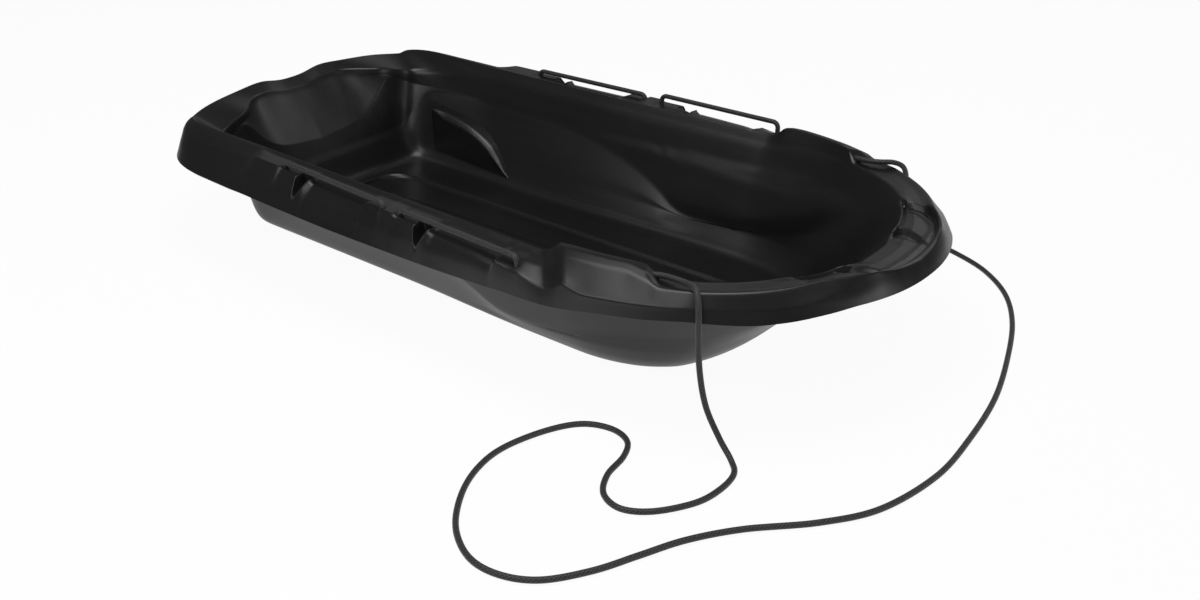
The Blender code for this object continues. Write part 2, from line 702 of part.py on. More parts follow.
def main():
    for item in list(bpy.data.objects):
        bpy.data.objects.remove(item, do_unlink=True)
    plastic = make_material("black_plastic", (0.012, 0.012, 0.013), 0.35)
    cord = make_material("black_rope", (0.020, 0.020, 0.021), 0.85)
    hull = new_object("hull", hull_mesh(), plastic)
    hull.data.set_sharp_from_angle(angle=math.radians(32))

    points, length = tow_points()
    print("tow rope length", round(length, 4))
    tube("tow_rope", points, ROPE / 2, cord)
    tow_knot("tow_knot_near", points[0], points[1], cord)
    tow_knot("tow_knot_far", points[-1], points[-2], cord)

    for side, word in ((-1, "near"), (1, "far")):
        for (a, b), end in zip(handle_places(), ("rear", "front")):
            raised = GRAB_RAISED if (word, end) == ("far", "front") else 0.0
            grab_rope("grab_rope_" + word + "_" + end, side, a, raised, cord)
        for i, (x, y) in enumerate(leg_places(side)):
            cut(hull, cutter("cut_leg_" + word + str(i), (x, y, DECK - 0.007), (0, 0, 1), ROPE_HOLE / 2, 0.024))
        held = points[:6] if side < 0 else points[-6:]
        cut(hull, path_cutter("cut_tow_" + word, held, ROPE_HOLE / 2))


main()
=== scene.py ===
"""Looks for the utility sled: fine hull surface, braided ropes, studio floor, lights and camera."""
import math

import bpy
import bmesh
from mathutils.bvhtree import BVHTree
from mathutils import Matrix, Vector


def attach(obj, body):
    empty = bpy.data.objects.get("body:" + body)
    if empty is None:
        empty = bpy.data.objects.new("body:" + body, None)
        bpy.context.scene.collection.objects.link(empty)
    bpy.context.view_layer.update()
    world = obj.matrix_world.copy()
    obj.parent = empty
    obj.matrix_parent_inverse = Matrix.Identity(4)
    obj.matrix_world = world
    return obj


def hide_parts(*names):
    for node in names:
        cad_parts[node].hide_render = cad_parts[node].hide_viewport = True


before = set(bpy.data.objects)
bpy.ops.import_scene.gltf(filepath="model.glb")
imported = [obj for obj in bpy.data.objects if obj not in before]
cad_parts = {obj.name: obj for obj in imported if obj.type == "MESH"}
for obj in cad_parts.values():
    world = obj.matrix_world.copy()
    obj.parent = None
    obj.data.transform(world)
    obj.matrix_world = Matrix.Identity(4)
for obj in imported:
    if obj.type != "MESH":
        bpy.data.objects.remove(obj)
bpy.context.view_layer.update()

# Sizes of the sled in metres
LENGTH = 1.016
WIDTH = 0.5715
HEIGHT = 0.1778
SHOULDER = 0.0178
WALL = 0.003
ROPE = 0.0065
GRAB_SPAN = 0.182
GRAB_FIRST = -0.229
GRAB_SECOND = -0.020
GRAB_INSET = 0.0085
GRAB_TRAVEL = 0.012
GRAB_RAISED = 0.005
GRAB_SEAT = 0.0158
GRAB_BEND = 0.0075
POCKET_DROP = 0.008
KNOT = 0.014
TUB_DEPTH_STEP = 0.004
GAP = 0.0003

# The pointed notch beside each grab rope, measured from the rope's rear leg
NOTCH_START = 0.029
NOTCH_MIDDLE = 0.0415
NOTCH_END = 0.056
NOTCH_DEPTH = 0.027

# The sizes that the lists of places below are drawn for
DRAWN_LENGTH = 1.016
DRAWN_HALF = 0.28575
DRAWN_HEIGHT = 0.1778

MM = 1000
HALF = WIDTH / 2
STRETCH = LENGTH / DRAWN_LENGTH
DECK = HEIGHT - SHOULDER
FLOOR = WALL + TUB_DEPTH_STEP
FOOT_Z = FLOOR + 0.0155
WALL_Z = DECK - 0.0185
SIDES = (("near", -1), ("far", 1))
ENDS = ("rear", "front")


def along(x):
    """A place along the sled, which moves with the length."""
    return x * STRETCH


GRAB_STARTS = (along(GRAB_FIRST), along(GRAB_SECOND))
STERN_START = along(-0.300)
BOW_STATION = 176
BOW_START = along(BOW_STATION / MM)
MOUTH_REACH = 0.442


def follow(points, x):
    """A smooth curve through a few points, which never swings past them."""
    if x <= points[0][0]:
        return points[0][1]
    if x >= points[-1][0]:
        return points[-1][1]
    slopes = []
    for (x0, y0), (x1, y1) in zip(points[:-1], points[1:]):
        slopes.append((y1 - y0) / (x1 - x0))
    tangents = [slopes[0]]
    for a, b in zip(slopes[:-1], slopes[1:]):
        tangents.append(0.0 if a * b <= 0 else 2 * a * b / (a + b))
    tangents.append(slopes[-1])
    for i in range(len(slopes)):
        x0, y0 = points[i]
        x1, y1 = points[i + 1]
        if x <= x1:
            h = x1 - x0
            t = (x - x0) / h
            return (y0 * (1 + 2 * t) * (1 - t) ** 2 + y1 * t * t * (3 - 2 * t)
                    + h * tangents[i] * t * (1 - t) ** 2 + h * tangents[i + 1] * t * t * (t - 1))


def ramp(x, start, end):
    """0 before start, 1 after end, straight between."""
    return min(1.0, max(0.0, (x - start) / (end - start)))


def ease(x, start, end):
    """0 before start, 1 after end, smooth between."""
    t = ramp(x, start, end)
    return t * t * (3 - 2 * t)


def blend(a, b, t):
    return a + (b - a) * t


# Stations along the side: one coordinate, which each ring turns into its own place.
# The shoulder's step and the tow notch lie aslant, so the outer rings meet them further forward.
STEP_KEYS = [150, 168, 181, 193, 216, 244, 270, 292, 308, 347]
TUB_KEYS = [150, 168, 180, 192, 216, 244, 274, 303, 306, 342]
EDGE_KEYS = [150, 204, 217, 228, 243, 262, 288, 318, 326, 356]
SIDE_END = STEP_KEYS[-1]


def aslant(keys, s):
    """Where a station lies on the ring whose own places are keys (millimetres in, metres out)."""
    if s <= STEP_KEYS[0]:
        return along(s / MM)
    for i in range(len(keys) - 1):
        if s <= STEP_KEYS[i + 1]:
            t = (s - STEP_KEYS[i]) / (STEP_KEYS[i + 1] - STEP_KEYS[i])
            return along(blend(keys[i], keys[i + 1], t) / MM)
    return along(keys[-1] / MM)


class Ring:
    """A line round the hull, in zones: stern, side and bow.

    The bow is a curve given by its reach and a power along and across the sled. The stern is such a
    curve or points: share across, place along. keys are where the side meets the aslant stations, and
    crowd is how far the stern's stations gather at the corner.
    """

    def __init__(self, name, stern, bow, side, height, keys=None, crowd=0.0):
        self.name = name
        self.stern = stern
        self.bow = (along(bow[0]), *bow[1:])
        self.side = side
        self.height = height
        self.keys = keys
        self.crowd = crowd

    def side_place(self, s):
        """How far forward and how far out the ring is at a station of the side."""
        reach, m, n = self.bow
        if self.keys:
            x = aslant(self.keys, s)
        else:
            t = (aslant(TUB_KEYS, s) - BOW_START) / (along(MOUTH_REACH) - BOW_START)
            x = along(s / MM) if t <= 0 else BOW_START + t * (reach - BOW_START)
        half = self.side(min(x, BOW_START))
        if x > BOW_START:
            t = min(1.0, (x - BOW_START) / (reach - BOW_START))
            half *= (1 - t ** m) ** (1 / n)
        return x, half

    def stern_place(self, t, part):
        """How far back the stern is at a station, which lies at a part of the half width."""
        if isinstance(self.stern, list):
            return along(follow(self.stern, t))
        reach, m, n = self.stern
        return STERN_START - (STERN_START - along(reach)) * (1 - min(1.0, part) ** n) ** (1 / m)

    def point(self, zone, t):
        """A point of the ring: zone stern, side or bow, t a fraction or a station."""
        if zone == "side":
            x, y = self.side_place(t)
        elif zone == "stern":
            # Low rings crowd their stations toward the corner, to stand under the mouth's own corner.
            part = blend(t, 1 - (1 - t) ** 2, self.crowd)
            x = self.stern_place(t, part)
            y = self.side(STERN_START) * part
        else:
            reach, m, n = self.bow
            start = (self.side_place(SIDE_END)[0] - BOW_START) / (reach - BOW_START)
            part = (1 - start ** m) ** (1 / n) * t
            x = BOW_START + (reach - BOW_START) * (1 - min(1.0, part) ** n) ** (1 / m)
            y = self.side(BOW_START) * part
        return [x, y, self.height(zone, t, x)]


class Between:
    """A ring at a share of the way from one ring to another, with a lift of its own."""

    def __init__(self, name, inner, outer, share, lift):
        self.name = name
        self.inner = inner
        self.outer = outer
        self.share = share
        self.lift = lift

    def point(self, zone, t):
        share = self.share(zone, t)
        p = [blend(a, b, share) for a, b in zip(self.inner.point(zone, t), self.outer.point(zone, t))]
        p[2] += self.lift(zone, t, p[0])
        return p


def risen(nose, side, t):
    """Height round the bow, from the nose to the end of the side."""
    return blend(nose, side, t ** 1.3)


def floor_ring(name, half, z, back, front, nose, power=10.0, crowd=0.0):
    """A ring that lies level along the sled and rises at the bow."""
    start = blend(z, nose, 0.10)

    def height(zone, t, x):
        if zone == "bow":
            return risen(nose, start, t)
        if zone == "side" and x > BOW_START:
            return blend(z, start, ramp(t, BOW_STATION, SIDE_END) ** 2)
        return z
    return Ring(name, (back, power, power), (front, 2.0, 2.2), half, height, crowd=crowd)


def bottom_half(x):
    """Half width of the tub's flat floor."""
    return HALF + follow([(-0.4, -0.1357), (-0.1, -0.1327), (0.1, -0.1257), (0.18, -0.1257)], x / STRETCH)


def foot_half(x):
    """Half width at the side wall's foot."""
    return bottom_half(x) + blend(0.0165, 0.0200, ramp(x, along(0.06), along(0.09)))


def crest_half(x):
    """Half width at the crest, the inner line of the rim."""
    return HALF - 0.0533 + 0.0317 * x / STRETCH


def top_half(x):
    """Half width at the side wall's top."""
    return crest_half(x) - 0.0105


def crease_height(x):
    """Height of the crease where the side wall's bulge ends, falling forward to the floor."""
    t = ramp(x / STRETCH, -0.37, 0.082)
    return max(0.035, 0.112 * (1 - t ** 3) ** (1 / 1.7))


def crease_half(x):
    """Half width at the crease, from which the wall leans out to its top."""
    leaning = top_half(x) - 0.33 * (WALL_Z - crease_height(x))
    return max(leaning, foot_half(x) + 0.004)


def wall_half(x, z):
    """Half width of the bulged wall between its foot and its crease."""
    top = crease_height(x)
    share = 0.0 if top - FOOT_Z < 0.001 else ramp(z, FOOT_Z, top)
    return blend(foot_half(x), crease_half(x), share)


def arch_z(x, above):
    """Height of a line just below or above the arch at the side wall's foot, near the stern."""
    t = ramp(x / STRETCH, -0.400, -0.218)
    arch = max(0.028, 0.026 + 0.078 * (1 - t ** 1.5))
    room = crease_height(x) - 0.004
    return min(room, arch + above * ramp(arch, 0.028, 0.040) + 0.004 * (above > 0))


def arch_ring(name, above, stern, bow, heights, crowd):
    """A ring that follows the arch; heights are those of the stern, the nose and the side's front end."""
    back, nose, front = heights

    def side(x):
        return wall_half(x, arch_z(x, above))

    def height(zone, t, x):
        if zone == "bow":
            return risen(nose, front, t)
        if zone == "stern":
            return blend(back, arch_z(x, above), ramp(t, 0.7, 0.97))
        return blend(arch_z(x, above), front, ramp(x, along(0.1), along(0.28)))
    return Ring(name, stern, bow, side, height, crowd=crowd)


def zones(stern, side, bow, scale=1):
    """A function that follows each zone's own points; x, the place along the sled, doesn't change it."""
    curves = {"stern": stern, "side": side, "bow": bow}
    return lambda zone, t, x=0.0: follow(curves[zone], t) / scale


# Heights over the deck in millimetres: stern and bow by the share of the half width, side by station.
TUB_CURVE = zones(
    [(0.0, -10), (0.62, -12), (0.7, -16), (0.84, -23), (0.92, -22.5), (1.0, -11.5)],
    [(-300, -11.5), (0, -10.5), (168, -10), (193, -5), (216, -1), (244, 1.5), (292, 3), (308, 3),
     (347, 1.8)],
    [(0.0, 5.5), (0.45, 6), (0.65, 8), (0.8, 5.8), (1.0, 1.8)], MM)
CREST_CURVE = zones(
    [(0.0, 1.5), (0.23, 1), (0.44, -2.5), (0.68, -6), (0.88, -10), (0.93, -4.5), (1.0, -2)],
    [(-300, -2), (0, -1), (150, 0), (168, 0.3), (181, 6), (193, 16.2), (216, 17.7), (244, SHOULDER * MM),
     (270, 17.7), (292, 16.4), (308, 3.2), (347, 2.6)],
    [(0.0, 6), (0.3, 6.2), (0.6, 6.6), (0.8, 6), (1.0, 2.6)], MM)
EDGE_CURVE = zones(
    [(0.0, -12.5)],
    [(-300, -10), (-286, -4.5), (-276, -2.2), (0, -2), (100, -4), (150, -8.5), (168, -19), (181, -14),
     (193, -5.5), (216, -5), (347, -4)],
    [(0.0, 6), (0.2, 8.5), (0.32, 11), (0.43, 8), (0.57, 4), (0.7, 0), (0.86, -3), (1.0, -4)], MM)
SKIRT_CURVE = zones(
    [(0.0, -40)],
    [(-300, -41.5), (-120, -44.5), (20, -43.5), (120, -40), (193, -34.5), (270, -27.5), (347, -22.2)],
    [(0.0, -10), (0.45, -11), (0.6, -15), (0.75, -20.5), (0.86, -23), (1.0, -22.2)], MM)
# The lip and the shelf: their share of the way between two rings, and their lift in millimetres.
LIP_SHARE = zones(
    [(0.9, 0.7), (1.0, 0.55)],
    [(-300, 0.55), (140, 0.6), (181, 0.5), (270, 0.5), (292, 0.72), (308, 0.78), (347, 0.9)],
    [(0.0, 0.9), (0.32, 0.94), (0.45, 0.8), (0.6, 0.62), (0.75, 0.76), (0.85, 0.84), (1.0, 0.9)])
LIP_LIFT = zones(
    [(0.86, 3.9), (1.0, 1.5)],
    [(-300, 1.5), (-285, 0.8), (-270, -1), (140, -0.5), (168, 4), (193, 5.5), (244, 5.6), (270, 6),
     (292, 7), (308, 7.5), (347, 9.5)],
    [(0.0, 1), (0.2, 1.8), (0.32, 3.5), (0.45, 8.2), (0.6, 10), (0.75, 9.8), (0.85, 10), (1.0, 9.5)], MM)
SHELF_SHARE = zones(
    [(0.86, 0.57), (1.0, 0.4)],
    [(-300, 0.4), (193, 0.4), (270, 0.4), (292, 0.5), (308, 0.62), (347, 0.62)],
    [(0.0, 0.62)])
SHELF_LIFT = zones(
    [(0.0, 0.7)],
    [(-300, 1), (-280, -1.6), (160, -1.6), (193, 1.8), (270, 1.8), (292, 1.5), (308, -0.4), (347, -1.2)],
    [(0.0, 0), (0.3, -0.8), (0.5, -4.5), (0.8, -2.2), (1.0, -1.2)], MM)
# Behind, the crease is the U-shaped lower edge of a panel that leans back to the rim.
PANEL = [
    (0.0, -0.4345), (0.3, -0.435), (0.6, -0.4375), (0.72, -0.435), (0.82, -0.43), (0.87, -0.4225),
    (0.92, -0.402), (0.96, -0.365), (1.0, -0.3)]
PANEL_Z = [
    (0.0, -0.085), (0.28, -0.078), (0.46, -0.055), (0.6, -0.026), (0.72, -0.034), (0.84, -0.044),
    (0.93, -0.047), (1.0, -0.048)]
# The tub's mouth has its stern corners cut off, which leaves a broad web there.
MOUTH = [
    (0.0, -0.484), (0.34, -0.483), (0.41, -0.479), (0.62, -0.442), (0.7, -0.4385), (0.84, -0.432),
    (0.9, -0.416), (0.95, -0.386), (1.0, -0.3)]


def crease_z(zone, t, x):
    """Height of the crease: the panel's lower edge behind, then falling along the side to the bow."""
    if zone == "bow":
        return risen(0.106, 0.070, t)
    if zone == "stern":
        return DECK + follow(PANEL_Z, t)
    return blend(crease_height(x), 0.070, ramp(x, along(0.1), along(0.30)))


def tub_z(zone, t, x):
    """Height of the tub's edge, with a scoop in the middle of the stern and of the bow."""
    scoop = {"stern": 0.008 * (1 - ramp(t, 0.10, 0.24)), "bow": 0.009 * (1 - ramp(t, 0.17, 0.30))}
    return DECK + TUB_CURVE(zone, t) - scoop.get(zone, 0.0)


def crest_z(zone, t, x):
    """Height of the crest, with the side's step up to the shoulder, and with such scoops."""
    scoop = {"stern": 0.008 * (1 - ramp(t, 0.08, 0.225)) ** 0.8, "bow": 0.006 * (1 - ramp(t, 0.16, 0.28))}
    return DECK + CREST_CURVE(zone, t) - scoop.get(zone, 0.0)


def drop(x):
    """How far the rim sinks at the grab ropes: a slot along each, and a deeper finger pocket in it."""
    total = 0.0
    for a in GRAB_STARTS:
        b = a + GRAB_SPAN
        slot = ramp(x, a - 0.004, a + 0.001) * (1 - ramp(x, b - 0.001, b + 0.004))
        pocket = ramp(x, a + 0.045, a + 0.058) * (1 - ramp(x, b - 0.032, b - 0.027))
        total += max(0.30 * slot, pocket) * POCKET_DROP
    return total


def edge_z(zone, t, x):
    z = DECK + EDGE_CURVE(zone, t)
    if zone == "stern":
        return blend(crest_z(zone, t, x) - 0.009, z, ramp(t, 0.85, 1.0))
    return z - drop(x) if zone == "side" else z


def edge_half(x):
    """Half width at the rim's outer edge, before the grab ropes' slots."""
    return min(HALF - 0.0122 + 0.068 * x / STRETCH, HALF - 0.0047)


def edge_side(x):
    """Half width at the rim's outer edge, drawn in at the stern corner and at the slots."""
    corner = blend(crest_half(x), HALF - 0.002, 0.42)
    return blend(corner, edge_half(x), ramp(x, along(-0.300), along(-0.280))) - 0.35 * drop(x)


def lip_lift(zone, t, x):
    return LIP_LIFT(zone, t) + (0.15 * drop(x) if zone == "side" else 0.0)


def waist_lift(zone, t, x):
    """The waist keeps most of its height under the finger pockets."""
    return 0.0015 + (min(0.45 * drop(x), 0.0050) if zone == "side" else 0.0)


def make_rings():
    """The rings by name, from the floor's middle line out to the skirt's lower edge."""
    reach = DRAWN_LENGTH / 2
    crest = Ring("crest", (-0.497, 8, 3.2), (0.460, 2.1, 2.4), crest_half, crest_z, STEP_KEYS)
    edge = Ring("edge", (-0.5035, 5.5, 3.0), (0.4965, 1.87, 2.1), edge_side, edge_z, EDGE_KEYS)
    skirt = Ring("skirt", (-reach, 3.65, 2.4), (reach, 2.0, 2.1),
                 lambda x: HALF - 0.0022 * ramp(-x, along(0.12), along(0.30)),
                 lambda zone, t, x: DECK + SKIRT_CURVE(zone, t), EDGE_KEYS)
    lip = Between("lip", crest, edge, LIP_SHARE, lip_lift)
    rings = [
        floor_ring("spine", lambda x: 0.0, FLOOR, -0.372, 0.262, 0.010, 2.0),
        floor_ring("trough_in_top", lambda x: 0.030, FLOOR, -0.374, 0.272, 0.012, 2.5),
        floor_ring("trough_in", lambda x: 0.041, WALL, -0.376, 0.280, 0.013, 2.5),
        floor_ring("trough_out", lambda x: 0.097, WALL, -0.384, 0.304, 0.022, 5.0),
        floor_ring("trough_out_top", lambda x: 0.1005, FLOOR, -0.386, 0.308, 0.026, 5.0),
        floor_ring("floor_edge", bottom_half, FLOOR, -0.393, 0.330, 0.040, crowd=0.6),
        floor_ring("fillet", lambda x: bottom_half(x) + 0.011, FLOOR + 0.0045, -0.402, 0.344, 0.053,
                   crowd=0.8),
        floor_ring("wall_foot", foot_half, FOOT_Z, -0.4085, 0.357, 0.066, crowd=0.8),
        arch_ring("arch_low", -0.004, (-0.418, 8.0, 8.0), (0.364, 2.0, 2.2), (0.045, 0.074, 0.036), 0.65),
        arch_ring("arch_high", 0.003, (-0.424, 8.0, 7.0), (0.371, 2.0, 2.2), (0.055, 0.082, 0.044), 0.55),
        Ring("crease", PANEL, (0.395, 2.0, 2.3), crease_half, crease_z, crowd=0.35),
        Ring("wall_top", [(t, x + 0.004 * (1 - t)) for t, x in MOUTH], (0.436, 2.2, 2.7), top_half,
             lambda zone, t, x: tub_z(zone, t, x) - 0.0075, TUB_KEYS),
        Ring("tub_edge", MOUTH, (MOUTH_REACH, 2.2, 2.7), lambda x: crest_half(x) - 0.0070, tub_z, TUB_KEYS),
        crest,
        Between("shelf", crest, lip, SHELF_SHARE, SHELF_LIFT),
        lip,
        edge,
        Between("waist", edge, skirt, lambda zone, t: 0.55, waist_lift),
        skirt]
    return {ring.name: ring for ring in rings}


def stations():
    """Shares of the stern's width, places along the side (unstretched millimetres), shares of the bow's."""
    stern = [0.0, 0.10, 0.17, 0.225, 0.33, 0.48, 0.63, 0.72, 0.80, 0.86, 0.915, 0.955, 0.985, 0.997]
    bow = [0.93, 0.85, 0.76, 0.67, 0.59, 0.50, 0.41, 0.33, 0.27, 0.19, 0.10, 0.0]
    side = [-300, -284, -270, -250] + STEP_KEYS[1:]
    for start in GRAB_STARTS:
        first = start / STRETCH * MM
        last = (start + GRAB_SPAN) / STRETCH * MM
        side += [first + step for step in (-4, 1, 20, 39, 46, 58)]
        side += [(first + last) / 2 + 12]
        side += [last + step for step in (-32, -27, -1, 4)]
    return ([("stern", t) for t in stern] + [("side", s) for s in sorted(side)]
            + [("bow", t) for t in bow])


# The tow rope's route, near side first: over the ledge and the lip, down to the floor, round in two
# level loops on the floor and up over the far lip. Forward, sideways, up; millimetres.
LOOP_HEIGHT = 3.6
TOW_DOWN = [
    (287, -227.5, 160.5), (303, -222, 166.6), (320, -219.5, 168.4), (343, -221.5, 169.6),
    (357, -227.5, 170), (366, -234.5, 163), (371, -239.5, 149), (373, -241, 132), (377, -241, 90),
    (387, -240.5, 51), (406, -240.5, 20), (425, -247, 5.5)]
TOW_LOOPS = [
    (439, -264), (443, -295), (437, -330), (414, -368), (387, -385), (360, -376), (343, -347),
    (336, -310), (322, -284), (296, -275), (266, -287), (245, -322), (232, -375), (236, -420),
    (254, -465), (286, -509), (325, -535), (362, -537), (396, -519), (424, -478), (443, -433),
    (463, -386), (495, -337), (545, -281), (580, -222), (597, -135), (594, -50), (581, 50), (555, 150),
    (524, 240), (487, 308), (440, 356), (392, 382)]
TOW_UP = [
    (355, 392, 3.8), (336, 372, 8), (338, 335, 26), (347, 297, 65), (355, 266, 105), (359, 253, 133),
    (361, 248.5, 150), (359, 240, 164.5), (350, 231, 170.4), (336, 223, 169.8), (320, 219.5, 168.4),
    (303, 222, 166.6), (287, 227.5, 160.5)]
TOW_ROUTE = TOW_DOWN + [(x, y, LOOP_HEIGHT) for x, y in TOW_LOOPS] + TOW_UP
TOW_NOTCH = 0.350


def smooth_route(route):
    """A fine smooth curve through the route's own points, with the length up to each point."""
    ends = [2 * route[0] - route[1]] + route + [2 * route[-1] - route[-2]]
    steps = 12
    fine = []
    for a, b, c, d in zip(ends[:-3], ends[1:-2], ends[2:-1], ends[3:]):
        for step in range(steps):
            t = step / steps
            fine.append(0.5 * (2 * b + (c - a) * t + (2 * a - 5 * b + 4 * c - d) * t * t
                               + (3 * b - 3 * c + d - a) * t * t * t))
    fine.append(route[-1])
    lengths = [0.0]
    for a, b in zip(fine[:-1], fine[1:]):
        lengths.append(lengths[-1] + (b - a).length)
    return fine, lengths


def even_route(route, count):
    """Evenly spaced points along the smooth curve, and its length."""
    fine, lengths = smooth_route(route)
    points = []
    j = 0
    for i in range(count):
        want = lengths[-1] * i / (count - 1)
        while j < len(fine) - 2 and lengths[j + 1] < want:
            j += 1
        t = (want - lengths[j]) / (lengths[j + 1] - lengths[j])
        points.append(fine[j].lerp(fine[j + 1], max(0.0, min(1.0, t))))
    return points, lengths[-1]


def tow_route():
    """The route fitted to this sled: its ends follow the notches and the floor part keeps its shape."""
    route = []
    for x, y, z in TOW_ROUTE:
        out = (HALF - DRAWN_HALF) * (1 if y > 0 else -1)
        lift = (HEIGHT - DRAWN_HEIGHT) * ramp(z, 6, 120)
        route.append(Vector((x / MM + along(TOW_NOTCH) - TOW_NOTCH, y / MM + out, z / MM + lift)))
    return route


def add_object(name, data):
    made = bpy.data.objects.new(name, data)
    bpy.context.collection.objects.link(made)
    return made


def add_camera():
    """The photograph's own view: focal length and middle are in pixels of its frame."""
    wide = 1200
    high = 600
    azimuth = math.radians(38.1615)
    elevation = math.radians(22.8992)
    roll = math.radians(1.1812)
    focal = 1431.19
    middle = (549.78, 202.23)
    distance = 1.84538
    target = Vector((-0.00979, 0.0, 0.08999))
    back = Vector((math.sin(azimuth) * math.cos(elevation), -math.cos(azimuth) * math.cos(elevation),
                   math.sin(elevation)))
    place = target + back * distance
    right = (-back).cross(Vector((0, 0, 1))).normalized()
    up = right.cross(-back)
    right, up = (right * math.cos(roll) + up * math.sin(roll), up * math.cos(roll) - right * math.sin(roll))
    data = bpy.data.cameras.new("camera")
    data.sensor_width = 36.0
    data.lens = data.sensor_width * focal / wide
    data.shift_x = (wide / 2 - middle[0]) / wide
    data.shift_y = (middle[1] - high / 2) / wide
    data.clip_start = 0.05
    data.clip_end = 60.0
    camera = add_object("camera", data)
    camera.matrix_world = Matrix(((right.x, up.x, back.x, place.x), (right.y, up.y, back.y, place.y),
                                  (right.z, up.z, back.z, place.z), (0, 0, 0, 1)))
    bpy.context.scene.camera = camera


def set_inputs(node, **values):
    """Set a node's inputs by name, with _ for the blanks in a name."""
    for key, value in values.items():
        node.inputs[key.replace("_", " ")].default_value = value


class Nodes:
    """A short way to build a material's node tree."""

    def __init__(self, name):
        self.material = bpy.data.materials.new(name)
        self.material.use_nodes = True
        self.tree = self.material.node_tree
        self.shader = self.tree.nodes["Principled BSDF"]

    def node(self, kind, **settings):
        made = self.tree.nodes.new(kind)
        for key, value in settings.items():
            setattr(made, key, value)
        return made

    def link(self, a, b):
        self.tree.links.new(a, b)

    def math(self, operation, a, b=None):
        made = self.node("ShaderNodeMath", operation=operation)
        for i, value in enumerate((a, b)):
            if isinstance(value, (int, float)):
                made.inputs[i].default_value = value
            elif value is not None:
                self.link(value, made.inputs[i])
        return made.outputs[0]

    def mix(self, a, b, share):
        """A share of a and the rest of b."""
        return self.math("ADD", self.math("MULTIPLY", a, share), self.math("MULTIPLY", b, 1 - share))

    def place(self, kind):
        return self.node("ShaderNodeTexCoord").outputs[kind]

    def noise(self, place, scale, detail=2.0):
        made = self.node("ShaderNodeTexNoise")
        set_inputs(made, Scale=scale, Detail=detail, Roughness=0.5)
        self.link(place, made.inputs["Vector"])
        return made.outputs["Fac"]

    def spread(self, value, low, high, to_low, to_high):
        made = self.node("ShaderNodeMapRange")
        set_inputs(made, From_Min=low, From_Max=high, To_Min=to_low, To_Max=to_high)
        self.link(value, made.inputs["Value"])
        return made.outputs["Result"]

    def bump(self, height, strength, distance):
        made = self.node("ShaderNodeBump")
        set_inputs(made, Strength=strength, Distance=distance)
        self.link(height, made.inputs["Height"])
        self.link(made.outputs["Normal"], self.shader.inputs["Normal"])

    def ramp(self, value, stops):
        """A colour ramp: each stop is its place and its red, green and blue."""
        made = self.node("ShaderNodeValToRGB")
        table = made.color_ramp
        while len(table.elements) < len(stops):
            table.elements.new(0.5)
        for element, (place, colour) in zip(table.elements, stops):
            element.position = place
            element.color = (*colour, 1.0)
        self.link(value, made.inputs["Fac"])
        return made.outputs["Color"]


def plastic_material():
    """Satin black moulded sheet: faint draw lines along the sled, a fine grain and a broad mottle in its
    tone and gloss.
    """
    n = Nodes("moulded_black_plastic")
    place = n.place("Object")
    cloud = n.noise(place, 5.0, 3.0)
    stretch = n.node("ShaderNodeMapping")
    set_inputs(stretch, Scale=(6.0, 90.0, 60.0))
    n.link(place, stretch.inputs["Vector"])
    lines = n.noise(stretch.outputs["Vector"], 1.0, 3.0)
    grain = n.noise(place, 900.0)
    colour = n.ramp(n.mix(cloud, lines, 0.6),
                    [(0.30, (0.0060, 0.0060, 0.0062)), (0.70, (0.0080, 0.0080, 0.0083))])
    n.link(colour, n.shader.inputs["Base Color"])
    rough = n.math("ADD", n.spread(cloud, 0.3, 0.7, 0.30, 0.35), n.spread(lines, 0.3, 0.7, -0.02, 0.03))
    rough = n.math("ADD", rough, n.spread(grain, 0.3, 0.7, -0.015, 0.015))
    n.link(rough, n.shader.inputs["Roughness"])
    n.bump(n.mix(grain, lines, 0.5), 0.10, 0.0004)
    set_inputs(n.shader, IOR=1.5)
    return n.material


def braid_material():
    """Black braided cord: strands wound both ways round the tube, read from the tube's own UVs. Its colour
    has painted shade in the grooves between the strands and a painted highlight on their crowns.
    """
    n = Nodes("black_braid")
    split = n.node("ShaderNodeSeparateXYZ")
    n.link(n.place("UV"), split.inputs[0])
    around = n.math("MULTIPLY", split.outputs["X"], 6.0)
    lengthwise = n.math("MULTIPLY", split.outputs["Y"], 1.5)

    def strand(sign):
        turn = n.math("ADD", around, n.math("MULTIPLY", lengthwise, sign))
        wave = n.math("SINE", n.math("MULTIPLY", n.math("FRACT", turn), math.pi))
        return n.math("POWER", wave, 0.6)
    height = n.math("MAXIMUM", strand(1.0), n.math("MULTIPLY", strand(-1.0), 0.92))
    fibre = n.noise(n.place("Object"), 1400.0)
    full = n.mix(height, fibre, 0.85)
    # Painted shade and highlight: the colour runs from near black in the grooves between the strands to
    # lighter grey on their crowns. The fibre noise mixed in is a random tone of the cord itself.
    colour = n.ramp(full, [(0.45, (0.002, 0.002, 0.002)), (0.80, (0.014, 0.014, 0.014)),
                           (1.0, (0.052, 0.052, 0.052))])
    n.link(colour, n.shader.inputs["Base Color"])
    n.link(n.spread(full, 0.3, 1.0, 0.75, 0.45), n.shader.inputs["Roughness"])
    n.bump(full, 0.8, 0.0008)
    set_inputs(n.shader, Sheen_Weight=0.10, Sheen_Roughness=0.5)
    return n.material


def add_piece(name, shell, material, crisp=None):
    """Turn a built shell into an object; crisp is the angle in degrees past which its edges stay sharp."""
    if crisp:
        for face in shell.faces:
            face.smooth = True
    bmesh.ops.recalc_face_normals(shell, faces=shell.faces)
    mesh = bpy.data.meshes.new(name)
    shell.to_mesh(mesh)
    shell.free()
    mesh.materials.append(material)
    if crisp:
        mesh.set_sharp_from_angle(angle=math.radians(crisp))
    return add_object(name, mesh)


